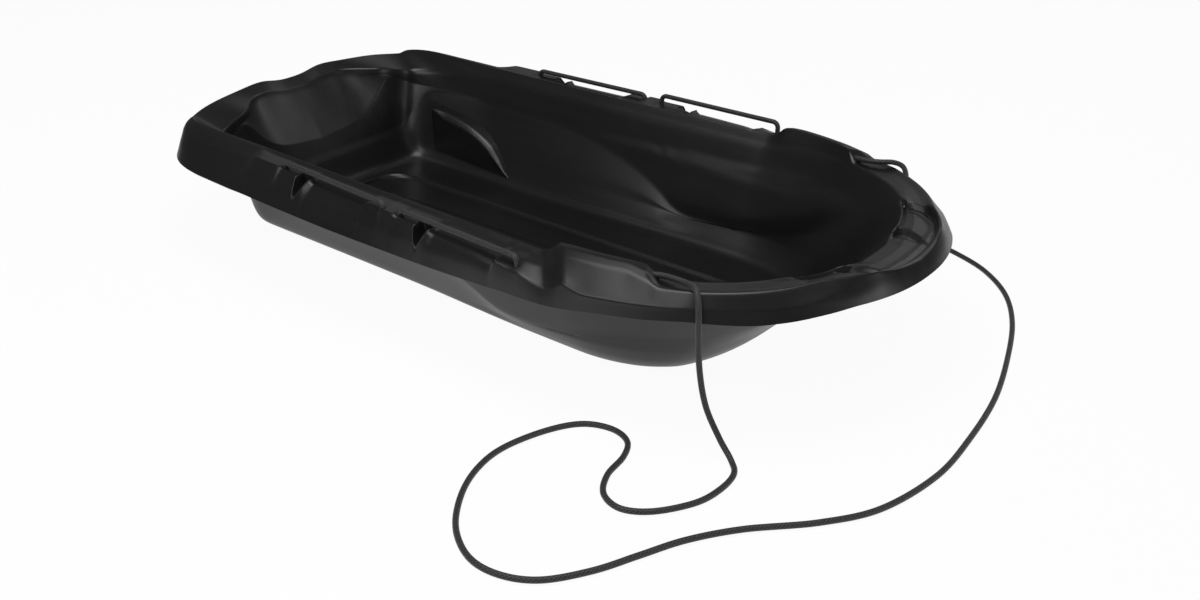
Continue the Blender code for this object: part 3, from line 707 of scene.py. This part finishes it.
def add_tube(name, points, radii, material, sides=16):
    """A mesh tube along points, with UVs: once round, and one unit for each rope diameter along."""
    shell = bmesh.new()
    layer = shell.loops.layers.uv.new("UVMap")
    ahead = (points[1] - points[0]).normalized()
    aside = Vector((0.31, 0.22, 0.93))
    across = ahead.cross(aside).normalized()
    rows = []
    lengths = []
    run = 0.0
    for i, p in enumerate(points):
        if i:
            run += (p - points[i - 1]).length
        lengths.append(run / ROPE)
        ahead = (points[min(i + 1, len(points) - 1)] - points[max(i - 1, 0)]).normalized()
        across = (across - ahead * across.dot(ahead)).normalized()
        over = ahead.cross(across)
        row = []
        for k in range(sides):
            angle = 2 * math.pi * k / sides
            row.append(shell.verts.new(p + radii[i] * (across * math.cos(angle) + over * math.sin(angle))))
        rows.append(row)
    for i in range(len(rows) - 1):
        for k in range(sides):
            face = shell.faces.new((rows[i][k], rows[i][(k + 1) % sides],
                                    rows[i + 1][(k + 1) % sides], rows[i + 1][k]))
            face.smooth = True
            for loop, (u, v) in zip(face.loops, ((k, i), (k + 1, i), (k + 1, i + 1), (k, i + 1))):
                loop[layer].uv = (u / sides, lengths[v])
    shell.faces.new(list(reversed(rows[0])))
    shell.faces.new(rows[-1])
    return add_piece(name, shell, material)


def add_tow_rope(braid):
    """The tow rope from notch to notch, with the stopper knots that hold its ends."""
    count = 760
    points, length = even_route(tow_route(), count)
    rope = add_tube("tow_rope_braid", points, [ROPE / 2] * count, braid, 14)
    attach(rope, "sled")
    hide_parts("tow_rope")
    knots = []
    for word, end, before in (("near", points[0], points[4]), ("far", points[-1], points[-5])):
        knots.append(add_knot("tow_knot_" + word + "_tied", end, (end - before).normalized(), braid))
        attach(knots[-1], "sled")
        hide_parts("tow_knot_" + word)


def add_knot(name, end, back, braid):
    """An overhand knot as one tube: a trefoil turn round the rope's own line."""
    side = back.cross(Vector((0, 0, 1))).normalized()
    over = back.cross(side)
    reach = 0.0030
    rise = 0.0034
    strand = ROPE / 2 * 0.62
    count = 90
    points = []
    for i in range(count):
        t = 2 * math.pi * i / (count - 1) * 0.94 + 0.1
        r = reach * (2 + math.cos(3 * t)) / 2.2
        points.append(end + back * (GAP + KNOT / 2 + rise * math.sin(3 * t))
                      + side * r * math.cos(2 * t) + over * r * math.sin(2 * t))
    return add_tube(name, points, [strand] * count, braid, 10)


def grab_points(side, start, raised):
    """The staple's middle line: up one leg, along the rim and down the other leg."""
    y0 = side * (edge_half(start) - GRAB_INSET)
    y1 = side * (edge_half(start + GRAB_SPAN) - GRAB_INSET)
    top = DECK + 0.0015 + raised
    knot_top = DECK - GRAB_SEAT - GRAB_TRAVEL + raised
    knot_rows = 7
    half = []
    for step in range(knot_rows):
        half.append((0.0, knot_top - KNOT * (1 - step / (knot_rows - 1)) * 0.98))
    for step in range(1, 5):
        half.append((0.0, blend(knot_top, top - GRAB_BEND, step / 5)))
    for step in range(11):
        angle = math.pi / 2 * step / 10
        half.append((GRAB_BEND * (1 - math.cos(angle)), top - GRAB_BEND * (1 - math.sin(angle))))
    for step in range(1, 21):
        half.append((blend(GRAB_BEND, GRAB_SPAN / 2, step / 20), top))
    points = [Vector((start + out, blend(y0, y1, out / GRAB_SPAN), z)) for out, z in half]
    for p in reversed(points[:-1]):
        points.append(Vector((2 * start + GRAB_SPAN - p.x, y0 + y1 - p.y, p.z)))
    radii = [ROPE / 2] * len(points)
    for i in range(knot_rows):
        bulge = KNOT / 2 * math.sqrt(max(0.0, 1 - ((i - 3) / 3.4) ** 2)) + 0.0010 * math.cos(2.1 * i)
        radii[i] = radii[-1 - i] = max(ROPE / 2 * 0.9, bulge)
    return points, radii


def add_grab_ropes(braid):
    for word, side in SIDES:
        for start, end in zip(GRAB_STARTS, ENDS):
            raised = GRAB_RAISED if (word, end) == ("far", "front") else 0.0
            points, radii = grab_points(side, start, raised)
            rope = add_tube("grab_rope_" + word + "_" + end + "_braid", points, radii, braid)
            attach(rope, "grab_" + word + "_" + end)
            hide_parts("grab_rope_" + word + "_" + end)


# Corner radius of each ring of the hull and the share of a span that a corner may take, the depth of
# the groove at the trough's outer corner, and how many points fill the span after each ring.
PLAIN_CORNER = 0.002
CORNERS = {"trough_in_top": 0.0025, "trough_in": 0.0025, "trough_out": 0.0020, "trough_out_top": 0.0016,
           "floor_edge": 0.012, "fillet": 0.012, "wall_foot": 0.012, "arch_low": 0.003,
           "arch_high": 0.003, "crease": 0.0045, "wall_top": 0.006, "tub_edge": 0.0030, "crest": 0.0016,
           "shelf": 0.0025, "lip": 0.0035, "edge": 0.0022, "waist": 0.006}
STERN_CORNERS = {"crease": 0.0015, "tub_edge": 0.0022}
CORNER_REACH = 0.46
GROOVE = 0.0018
FILL = {"trough_in": 3, "trough_out_top": 4, "wall_foot": 3, "arch_low": 1, "arch_high": 5, "crease": 12,
        "wall_top": 1, "crest": 5, "shelf": 3, "lip": 4, "edge": 9, "waist": 1}
# How close together the hull's sections stand, and where they are closest, from a rope's rear leg
SPACING = {"stern": 0.004, "side": 0.005, "bow": 0.003}
NOTCH_SPACING = 0.0012
CLOSE_START = NOTCH_START - 0.011
CLOSE_END = NOTCH_END + 0.004


def fine_stations(rim):
    """The coarse stations with evenly spaced ones between them, closest at the notches and the bow."""
    marks = stations()
    coarse = 1.0
    found = []
    for (zone, t), (after, u) in zip(marks, marks[1:] + [marks[-1]]):
        found.append((zone, t))
        if zone != after:
            if after != "bow":
                continue
            zone, t = "bow", 1.0
        step = SPACING[zone]
        for start in GRAB_STARTS:
            near = start + CLOSE_START < along(t / MM) and along(u / MM) < start + CLOSE_END
            if zone == "side" and near:
                step = NOTCH_SPACING
        gap = math.dist(rim.point(zone, t), rim.point(after, u))
        pieces = int(gap / step / coarse) + 1
        found += [(zone, blend(t, u, j / pieces)) for j in range(1, pieces)]
    return found


def toward(a, b, radius):
    """The point where a corner of this radius at a leaves the line to b, and its share of that line."""
    way = b - a
    reach = min(radius, CORNER_REACH * way.length)
    return a + way.normalized() * reach, reach / max(way.length, 1e-9)


def section(points, names, corners):
    """One cross-section: the rings' points joined with rounded corners, each with its place across."""
    radii = [corners.get(name, PLAIN_CORNER) for name in names]
    steps = 4
    found = [(points[0], 0.0)]
    for i in range(1, len(points) - 1):
        start, before = toward(points[i], points[i - 1], radii[i])
        stop, after = toward(points[i], points[i + 1], radii[i])
        for step in range(steps + 1):
            t = step / steps
            p = start * (1 - t) ** 2 + points[i] * 2 * t * (1 - t) + stop * t * t
            if names[i] == "trough_out":
                p.z -= GROOVE * (1 - abs(2 * t - 1))
            found.append((p, blend(i - before, i + after, t)))
        far, left = toward(points[i + 1], points[i], radii[i + 1])
        spare = FILL.get(names[i], 0)
        for step in range(1, spare + 1):
            share = step / (spare + 1)
            found.append((stop.lerp(far, share), blend(i + after, i + 1 - left, share)))
    found.append((points[-1], float(len(points) - 1)))
    return found


# Places across the hull: each ring's number from the middle line, and shares between two rings.
NUMBER = {name: i for i, name in enumerate(make_rings())}
FACET_FIRST = NUMBER["arch_high"] + 0.3
FACET_LAST = NUMBER["wall_top"] + 0.4
RIM_FIRST = NUMBER["wall_top"] + 0.3
RIM_FULL = NUMBER["wall_top"] + 0.9
NOTCH_FIRST = NUMBER["lip"] - 0.3

# The side wall's long facet: heights of its upper and lower edge, how far it stands out, and the
# hollow under it.
FACET_START = -0.11
FACET_END = 0.348
FACET_TOP = [
    (-0.105, 0.106), (0.0, 0.1092), (0.118, 0.1112), (0.167, 0.114), (0.217, 0.122), (0.275, 0.1245),
    (0.32, 0.129), (0.345, 0.1262)]
FACET_LOW = [
    (-0.105, 0.1058), (0.0, 0.1078), (0.066, 0.107), (0.118, 0.1062), (0.158, 0.106), (0.212, 0.1045),
    (0.259, 0.1085), (0.3, 0.115), (0.345, 0.125)]
FACET_DEPTH = [
    (FACET_START, 0.0), (0.0, 0.0012), (0.1, 0.003), (0.2, 0.0065), (0.27, 0.0075), (0.32, 0.0045),
    (FACET_END, 0.0)]
HOLLOW_TOP = [
    (-0.11, 0.05), (0.154, 0.05), (0.205, 0.064), (0.244, 0.08), (0.28, 0.101), (0.344, 0.1245)]
HOLLOW_LOW = [
    (-0.11, 0.022), (0.1, 0.028), (0.154, 0.03), (0.188, 0.04), (0.229, 0.052), (0.271, 0.069),
    (0.31, 0.09), (0.344, 0.112)]


def press_wall(p):
    """The long facet on the side wall: it stands out inboard and ends in a hollow toward the bow."""
    if not FACET_START < p.x < FACET_END:
        return p
    top = follow(FACET_TOP, p.x)
    low = min(follow(FACET_LOW, p.x), top - 0.0008)
    under = follow(HOLLOW_TOP, p.x)
    end = min(follow(HOLLOW_LOW, p.x), under - 0.001)
    out = ramp(top - p.z, 0.0, top - low) * (1 - ramp(under - p.z, 0.0, under - end))
    across = Vector((max(0.0, p.x - 0.10) * 0.9, p.y, 0.0)).normalized()
    return p - across * follow(FACET_DEPTH, p.x) * out


# The hollow in the bow's deck: where it lies, the leaf-shaped dish on its flank, and the foot of its
# steep side, from the tub's edge to the nose.
BOW_DECK_START = 0.36
BOW_DECK_HALF = 0.20
LEAF_START = 0.438
LEAF_END = 0.484
LEAF_DEPTH = 0.0042
STEP_FOOT = [
    (0.34, 0.176), (0.415, 0.131), (0.441, 0.128), (0.458, 0.117), (0.472, 0.103), (0.48, 0.084),
    (0.486, 0.05), (0.489, 0.0)]


def side_of(line, x, y):
    """Distance from a line of points, positive on its inboard side."""
    best = 1.0
    sign = 1.0
    for (x0, y0), (x1, y1) in zip(line, line[1:]):
        dx = x1 - x0
        dy = y1 - y0
        t = min(1.0, max(0.0, ((x - x0) * dx + (y - y0) * dy) / (dx * dx + dy * dy)))
        gap = math.hypot(x - x0 - t * dx, y - y0 - t * dy)
        if gap < best:
            best = gap
            sign = 1.0 if (x - x0) * dy - (y - y0) * dx > 0 else -1.0
    return best * sign


def press_bow(p, q):
    """The deck's hollow between the bow's two shoulders, with a leaf-shaped dish on each flank."""
    if p.x < BOW_DECK_START or p.y > BOW_DECK_HALF or q >= NUMBER["lip"]:
        return p
    inside = side_of(STEP_FOOT, p.x, p.y)
    if inside < -0.004:
        return p
    floor = DECK + blend(0.0002, 0.0018, ramp(p.y, 0.030, 0.110))
    floor += 0.0012 * math.exp(-((inside - 0.009) / 0.0030) ** 2)
    leaf = ramp(p.x, LEAF_START, LEAF_END)
    upper = blend(0.076, 0.046, leaf) + 0.004 * math.sin(math.pi * leaf)
    lower = blend(0.046, 0.044, leaf)
    if LEAF_START - 0.008 < p.x < LEAF_END and lower < p.y < upper:
        share = (p.y - lower) / max(1e-6, upper - lower)
        across = min(1.0, 2.2 * share) * (1 - ramp(share, 0.80, 1.0))
        floor -= LEAF_DEPTH * across * (1 - ramp(p.x, 0.470, LEAF_END))
    floor -= 0.0035 * ramp(NUMBER["tub_edge"] + 0.4 - q, 0.0, 0.4)
    share = (ease(inside, -0.0035, 0.0010) * (1 - ease(q, NUMBER["shelf"] + 0.35, NUMBER["lip"]))
             * ramp(q, RIM_FIRST, RIM_FULL))
    return Vector((p.x, p.y, p.z - max(0.0, p.z - floor) * share))


def notch_share(d):
    """Depth of the notch beside a grab rope, as a share, at a distance from the rope's rear leg."""
    if not NOTCH_START < d < NOTCH_END:
        return 0.0
    if d < NOTCH_MIDDLE:
        return 1 - ((NOTCH_MIDDLE - d) / (NOTCH_MIDDLE - NOTCH_START)) ** 2.2
    return (1 - (d - NOTCH_MIDDLE) / (NOTCH_END - NOTCH_MIDDLE)) ** 1.25


def notch_bottom(d):
    """Height of the notch's rim at a distance from the rope's rear leg."""
    return DECK - 0.001 - NOTCH_DEPTH * notch_share(d)


def press_notch(p, q):
    """The pointed notch in the platform's outer edge beside each grab rope."""
    for start in GRAB_STARTS:
        d = p.x - start
        if notch_share(d) > 0.0:
            full = ramp(q, NUMBER["lip"] - 0.2, NUMBER["lip"])
            return Vector((p.x, p.y, blend(p.z, min(p.z, notch_bottom(d)), full)))
    return p


def press(p, q):
    """The small forms that are pressed into the plain rings' surface."""
    if q > NOTCH_FIRST and p.x < 0.25:
        return press_notch(p, q)
    if FACET_FIRST < q < FACET_LAST:
        return press_wall(p)
    if q > RIM_FIRST:
        return press_bow(p, q)
    return p


# The broad band along the bow's sides: how far its upper edge moves down to the waist, how far both
# stand out, and how often the hull is smoothed.
BAND_SHARE = 0.62
BAND_OUT = 0.0045
BAND_WAIST_OUT = 0.0025
SMOOTHING = 20


def widen_band(points):
    """Draw the edge down toward the waist along the bow's sides."""
    edge = points[NUMBER["edge"]]
    waist = points[NUMBER["waist"]]
    crest = points[NUMBER["crest"]]
    band = BAND_SHARE * ease(edge.x, 0.215, 0.255) * (1 - ease(edge.x, 0.44, 0.48))
    out = Vector((waist.x - crest.x, waist.y - crest.y, 0.0)).normalized()
    points[NUMBER["edge"]] = edge.lerp(waist, band) + out * BAND_OUT * band
    points[NUMBER["waist"]] = waist + out * BAND_WAIST_OUT * band


def hull_columns():
    """The hull's cross-sections: each point is its place and how far it was pressed inboard."""
    rings = make_rings()
    names = list(rings)
    marks = fine_stations(rings["edge"])
    columns = []
    for zone, t in marks:
        points = [Vector(ring.point(zone, t)) for ring in rings.values()]
        widen_band(points)
        corners = CORNERS | STERN_CORNERS if zone == "stern" else CORNERS
        column = []
        for p, q in section(points, names, corners):
            pressed = press(p, q)
            moved = p - pressed if q < FACET_LAST else Vector((0.0, 0.0, 0.0))
            column.append(Vector((*pressed, *moved)))
        columns.append(column)
    first = [Vector(ring.point(*marks[0])) for ring in rings.values()]
    across = [q for p, q in section(first, names, CORNERS)]
    # The columns are smoothed along the sled: the whole stern, and elsewhere all but the rim.
    for turn in range(SMOOTHING):
        before = [[p.copy() for p in column] for column in columns]
        for i in range(1, len(columns) - 1):
            zone, t = marks[i]
            whole = zone == "stern" and t < 0.86
            for k, q in enumerate(across):
                share = 1.0 if whole else 1 - ramp(q, RIM_FIRST, RIM_FULL)
                if share > 0.0:
                    middle = (before[i][k] * 2 + before[i - 1][k] + before[i + 1][k]) / 4
                    columns[i][k] = before[i][k].lerp(middle, share)
    return columns


def join_rows(shell, rows):
    """Faces between neighbouring rows of points, and from the last row back to the first."""
    for one, two in zip(rows, rows[1:] + rows[:1]):
        for k in range(len(one) - 1):
            shell.faces.new((one[k], two[k], two[k + 1], one[k + 1]))


def add_hull(plastic):
    """The hull's sheet: an upper skin, and a twin skin below it that keeps what is pressed off it."""
    columns = hull_columns()
    shell = bmesh.new()
    layer = shell.verts.layers.float_vector.new("moved")
    grid = []
    for side, found in ((1, columns), (-1, list(reversed(columns[1:-1])))):
        for column in found:
            row = []
            for p in column:
                row.append(shell.verts.new((p[0], side * p[1], p[2])))
                row[-1][layer] = (p[3], side * p[4], p[5])
            grid.append(row)
    join_rows(shell, grid)
    bmesh.ops.remove_doubles(shell, verts=shell.verts, dist=0.00001)
    bmesh.ops.recalc_face_normals(shell, faces=shell.faces)
    shell.normal_update()
    if sum(f.normal.z * f.calc_area() for f in shell.faces) < 0:
        bmesh.ops.reverse_faces(shell, faces=shell.faces)
        shell.normal_update()
    faces = [list(f.verts) for f in shell.faces]
    rim = [e for e in shell.edges if len(e.link_faces) == 1]
    twin = {}
    for v in list(shell.verts):
        under = v.co + v[layer] - v.normal * WALL * 0.9
        under.z = max(under.z, GAP)
        twin[v] = shell.verts.new(under)
    for f in faces:
        shell.faces.new([twin[v] for v in reversed(f)])
    for e in rim:
        a, b = e.verts
        shell.faces.new((b, a, twin[a], twin[b]))
    hull = add_piece("hull_skin", shell, plastic, 32)
    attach(hull, "sled")
    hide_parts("hull")
    return hull


# The arched block at the foot of each side wall near the stern: how far out its upright face stands,
# its rear edge from low to high, and its arch.
BLOCK_FACE = 0.1645
BLOCK_REAR = [(-0.3665, 0.0260), (-0.3722, 0.0885)]
BLOCK_ARCH = [
    (-0.3725, 0.0902), (-0.369, 0.0915), (-0.3505, 0.0893), (-0.327, 0.0856), (-0.3019, 0.0797),
    (-0.2773, 0.07), (-0.2561, 0.0569), (-0.2398, 0.04), (-0.2236, 0.0221), (-0.2183, 0.0186)]


def block_outline():
    """The block's outline in the plane of its face: up the rear edge, along the arch, to the floor."""
    (x0, z0), (x1, z1) = BLOCK_REAR
    outline = [(blend(x0, x1, i / 8), blend(z0, z1, i / 8)) for i in range(9)]
    steps = 72
    for i in range(1, steps + 1):
        x = blend(BLOCK_ARCH[0][0], BLOCK_ARCH[-1][0], i / steps)
        outline.append((x, follow(BLOCK_ARCH, x)))
    return outline


def add_block(word, side, plastic, wall):
    """One block: its flat face, a rounded edge round it, and its sides back to the wall behind it."""
    outline = block_outline()
    count = len(outline)
    steps = 5
    shell = bmesh.new()
    rows = []
    for i, (x, z) in enumerate(outline):
        x0, z0 = outline[max(i - 1, 0)]
        x1, z1 = outline[min(i + 1, count - 1)]
        run = math.hypot(x1 - x0, z1 - z0)
        inward = ((z1 - z0) / run, -(x1 - x0) / run)
        wide = blend(0.0020, 0.0105, ease(x, -0.373, -0.340)) * blend(1.0, 0.12, ease(x, -0.252, -0.220))
        found = wall.ray_cast(Vector((x, side * 0.12, z)), Vector((0.0, side, 0.0)))[0]
        half = abs(found.y) if found else BLOCK_FACE
        if i == 0:
            half -= WALL
        row = []
        for step in range(steps + 1):
            angle = math.pi / 2 * step / steps
            inset = wide * (1 - math.sin(angle))
            row.append((x + inward[0] * inset, BLOCK_FACE + wide * (1 - math.cos(angle)),
                        z + inward[1] * inset))
        row.append((x, max(half + 0.0012, BLOCK_FACE + wide + 0.0002), z))
        rows.append([shell.verts.new((px, side * py, pz)) for px, py, pz in row])
    join_rows(shell, rows)
    shell.faces.new([row[0] for row in rows])
    shell.faces.new([row[-1] for row in reversed(rows)])
    bmesh.ops.triangulate(shell, faces=[f for f in shell.faces if len(f.verts) > 4])
    block = add_piece("wall_block_" + word, shell, plastic, 50)
    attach(block, "sled")


def notch_rim_path(outer, start, side):
    """Points along the notch's rim, on the outer face of the edge and the skirt."""
    points = []
    for i in range(41):
        d = blend(NOTCH_START + 0.0006, NOTCH_END - 0.0012, i / 40)
        face = [ring.point("side", (start + d) * MM) for ring in outer]
        z = min(notch_bottom(d), face[0][2])
        for (x0, y0, z0), (x1, y1, z1) in zip(face, face[1:]):
            if z1 <= z <= z0:
                y = blend(y0, y1, (z0 - z) / max(1e-6, z0 - z1))
                points.append(Vector((start + d, side * (y - 0.0004), z)))
                break
    return points


def add_notch_rims(plastic):
    rings = make_rings()
    outer = [rings[name] for name in ("lip", "edge", "waist", "skirt")]
    for word, side in SIDES:
        for start, end in zip(GRAB_STARTS, ENDS):
            points = notch_rim_path(outer, start, side)
            rim = add_tube("notch_rim_" + word + "_" + end, points, [0.0010] * len(points), plastic, 8)
            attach(rim, "sled")


def add_floor():
    """A white floor that keeps the sled's shadow, and that gloss sees as a white sheet round the sled."""
    n = Nodes("pale_floor")
    set_inputs(n.shader, Base_Color=(0.92, 0.92, 0.92, 1.0), Roughness=0.9, Specular_IOR_Level=0.0)
    glow = n.node("ShaderNodeEmission")
    set_inputs(glow, Strength=1.0)
    mix = n.node("ShaderNodeMixShader")
    path = n.node("ShaderNodeLightPath")
    away = n.node("ShaderNodeVectorMath", operation="DISTANCE")
    n.link(n.place("Object"), away.inputs[0])
    away.inputs[1].default_value = (1.5, 0.2, 0.0)
    sheet = n.spread(away.outputs["Value"], 1.9, 2.7, 0.75, 0.04)
    shiny = n.math("MAXIMUM", path.outputs["Is Glossy Ray"], path.outputs["Is Transmission Ray"])
    mirrored = n.math("MULTIPLY", shiny, sheet)
    seen = n.math("MULTIPLY", path.outputs["Is Camera Ray"], 0.95)
    n.link(n.math("MAXIMUM", seen, mirrored), mix.inputs[0])
    n.link(n.shader.outputs[0], mix.inputs[1])
    n.link(glow.outputs[0], mix.inputs[2])
    n.link(mix.outputs[0], n.tree.nodes["Material Output"].inputs[0])
    mesh = bpy.data.meshes.new("floor")
    size = 14.0
    mesh.from_pydata([(-size, -size, 0), (size, -size, 0), (size, size, 0), (-size, size, 0)], [],
                     [(0, 1, 2, 3)])
    mesh.materials.append(n.material)
    floor = add_object("floor", mesh)
    floor.location.z = -0.0005


# Soft lamps: name, place, the point each is turned to, width and height in metres, and watts
LAMPS = [("overhead", (0.25, -0.45, 2.2), (0, 0, 0), (1.7, 1.6), 34),
         ("far_side", (0.30, 2.10, 1.40), (-0.2, 0.1, 0.1), (1.8, 1.0), 5),
         ("near_side", (0.05, -1.85, 1.45), (0.1, 0.0, 0.1), (1.9, 0.7), 12),
         ("far_rear", (-1.50, 1.90, 1.10), (0.1, 0.0, 0.1), (1.8, 1.0), 1.3),
         ("front", (2.9, 0.6, 0.55), (0.4, 0.0, 0.1), (1.3, 0.9), 9)]


def add_light():
    """A dim white world, which the camera itself sees as white, and the lamps."""
    world = bpy.data.worlds.new("studio")
    bpy.context.scene.world = world
    world.use_nodes = True
    tree = world.node_tree
    back = tree.nodes["Background"]
    set_inputs(back, Color=(1.0, 1.0, 1.0, 1.0))
    path = tree.nodes.new("ShaderNodeLightPath")
    level = tree.nodes.new("ShaderNodeMapRange")
    set_inputs(level, To_Min=0.10, To_Max=1.0)
    tree.links.new(path.outputs["Is Camera Ray"], level.inputs["Value"])
    tree.links.new(level.outputs["Result"], back.inputs["Strength"])
    for name, place, aim, size, power in LAMPS:
        data = bpy.data.lights.new(name, "AREA")
        data.shape = "RECTANGLE"
        data.size, data.size_y = size
        data.energy = power
        lamp = add_object(name, data)
        lamp.location = place
        lamp.rotation_euler = (Vector(aim) - Vector(place)).to_track_quat("-Z", "Y").to_euler()


add_camera()
braid = braid_material()
add_tow_rope(braid)
add_grab_ropes(braid)
plastic = plastic_material()
hull = add_hull(plastic)
wall = BVHTree.FromPolygons([v.co for v in hull.data.vertices], [f.vertices for f in hull.data.polygons])
for word, side in SIDES:
    add_block(word, side, plastic, wall)
add_notch_rims(plastic)
add_floor()
add_light()
bpy.context.scene.view_settings.view_transform = "Standard"
